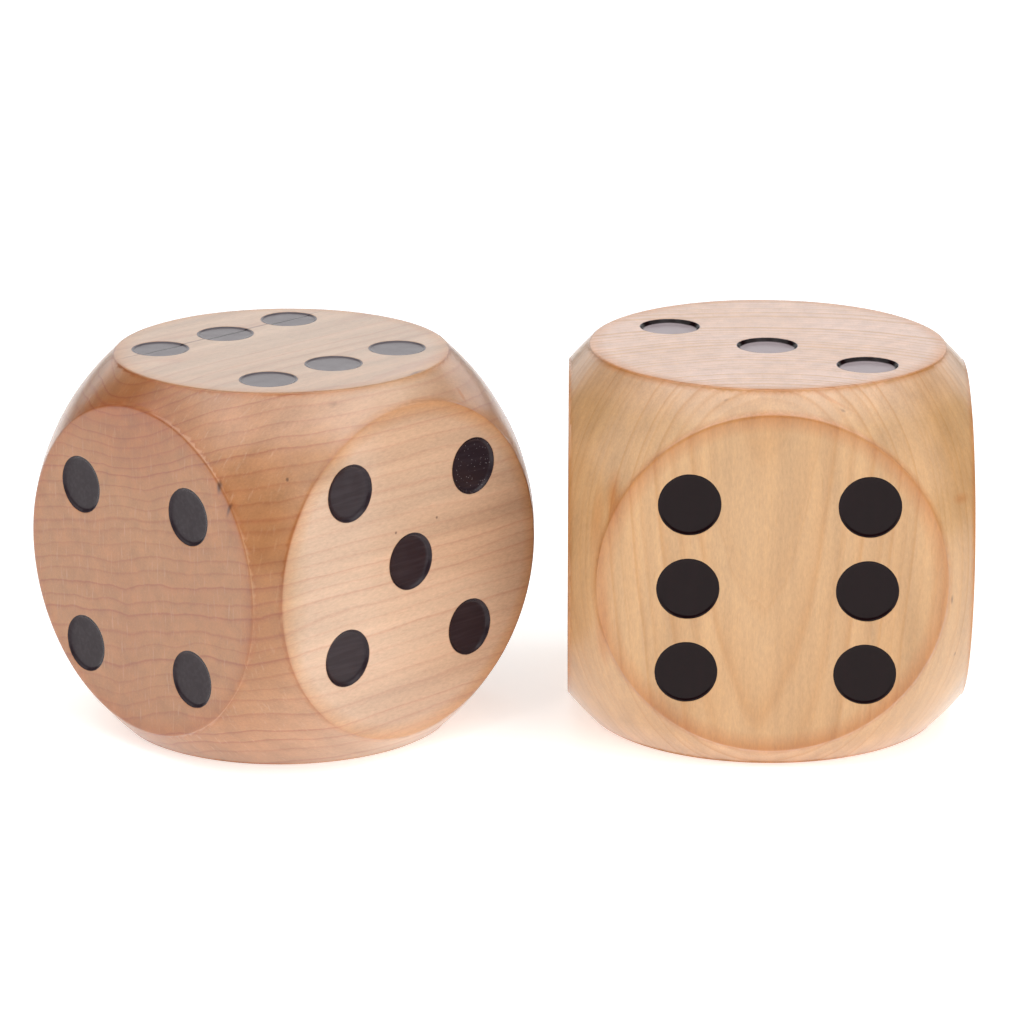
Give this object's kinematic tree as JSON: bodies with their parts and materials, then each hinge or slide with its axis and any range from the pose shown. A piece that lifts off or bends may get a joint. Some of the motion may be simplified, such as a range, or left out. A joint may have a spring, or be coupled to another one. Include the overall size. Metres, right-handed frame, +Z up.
{
  "type": "giant yard dice",
  "caption": "Pair of giant wooden lawn-game dice with ball-rounded corners and black lacquered round pips in shallow recesses, varnished.",
  "frame": {"origin": "on the ground, at the middle of the pair's outline", "axes": "+X along the pair from the left die to the right die, +Y away from the front, +Z up"},
  "size_m": [0.2194, 0.118, 0.0894],
  "materials": {
    "left_wood": "satin clear varnish on pale close-grained hardwood",
    "right_wood": "satin clear varnish on pale close-grained hardwood",
    "pip_lacquer": "gloss black lacquer"
  },
  "bodies": {
    "left_die": {"left_die_block": "left_wood", "left_die_one_pip_1": "pip_lacquer", "left_die_two_pip_1": "pip_lacquer", "left_die_two_pip_2": "pip_lacquer", "left_die_three_pip_1": "pip_lacquer", "left_die_three_pip_2": "pip_lacquer", "left_die_three_pip_3": "pip_lacquer", "left_die_four_pip_1": "pip_lacquer", "left_die_four_pip_2": "pip_lacquer", "left_die_four_pip_3": "pip_lacquer", "left_die_four_pip_4": "pip_lacquer", "left_die_five_pip_1": "pip_lacquer", "left_die_five_pip_2": "pip_lacquer", "left_die_five_pip_3": "pip_lacquer", "left_die_five_pip_4": "pip_lacquer", "left_die_five_pip_5": "pip_lacquer", "left_die_six_pip_1": "pip_lacquer", "left_die_six_pip_2": "pip_lacquer", "left_die_six_pip_3": "pip_lacquer", "left_die_six_pip_4": "pip_lacquer", "left_die_six_pip_5": "pip_lacquer", "left_die_six_pip_6": "pip_lacquer"},
    "right_die": {"right_die_block": "right_wood", "right_die_one_pip_1": "pip_lacquer", "right_die_two_pip_1": "pip_lacquer", "right_die_two_pip_2": "pip_lacquer", "right_die_three_pip_1": "pip_lacquer", "right_die_three_pip_2": "pip_lacquer", "right_die_three_pip_3": "pip_lacquer", "right_die_four_pip_1": "pip_lacquer", "right_die_four_pip_2": "pip_lacquer", "right_die_four_pip_3": "pip_lacquer", "right_die_four_pip_4": "pip_lacquer", "right_die_five_pip_1": "pip_lacquer", "right_die_five_pip_2": "pip_lacquer", "right_die_five_pip_3": "pip_lacquer", "right_die_five_pip_4": "pip_lacquer", "right_die_five_pip_5": "pip_lacquer", "right_die_six_pip_1": "pip_lacquer", "right_die_six_pip_2": "pip_lacquer", "right_die_six_pip_3": "pip_lacquer", "right_die_six_pip_4": "pip_lacquer", "right_die_six_pip_5": "pip_lacquer", "right_die_six_pip_6": "pip_lacquer"}
  },
  "joints": [
    {"name": "right_die_roll", "type": "hinge", "parent": "left_die", "child": "right_die", "pos_m": [0.1092, 0.00295, 0], "axis": [0.014, 0.9999, 0], "range_deg": [0, 90]}
  ]
}
